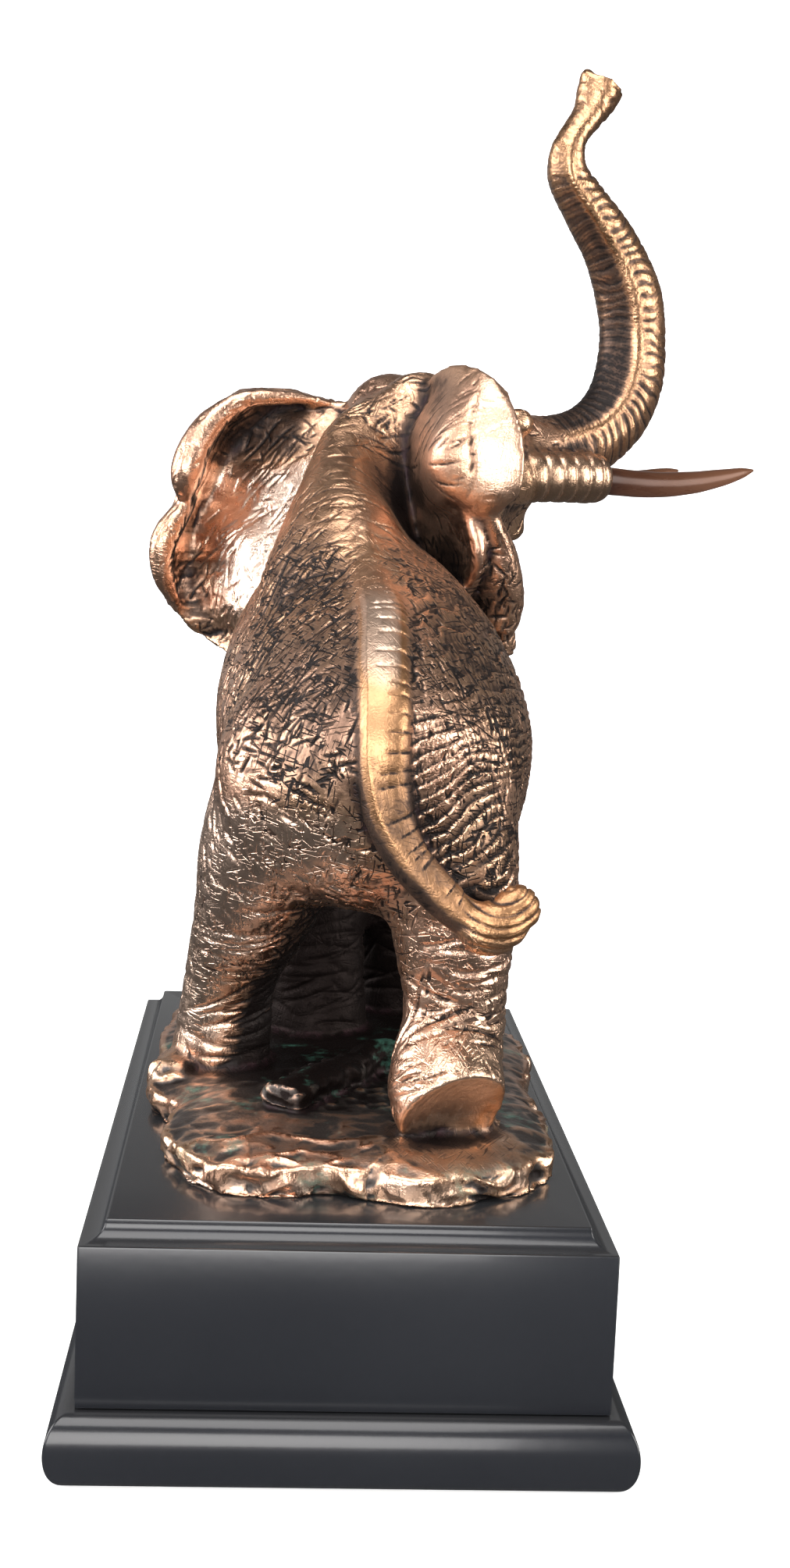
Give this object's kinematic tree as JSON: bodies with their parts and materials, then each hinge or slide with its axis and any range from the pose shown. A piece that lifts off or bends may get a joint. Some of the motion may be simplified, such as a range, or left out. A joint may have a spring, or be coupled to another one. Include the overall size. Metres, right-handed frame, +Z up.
{
  "type": "bronze elephant figurine",
  "caption": "Striding elephant in copper-toned cast bronze, trunk raised, dark tusks, on a rock base and a moulded black plinth.",
  "frame": {"origin": "centre of the plinth's underside", "axes": "+Z up, +Y the way the elephant walks, +X to its right"},
  "size_m": [0.1812, 0.233, 0.3285],
  "materials": {
    "copper_bronze": "patinated, polished on the high spots",
    "dark_tusk": "satin",
    "black_lacquer": "satin black lacquer"
  },
  "bodies": {
    "root": {"elephant_casting": "copper_bronze", "tusk_left": "dark_tusk", "tusk_right": "dark_tusk", "plinth_block": "black_lacquer", "plinth_foot": "black_lacquer"}
  },
  "joints": []
}
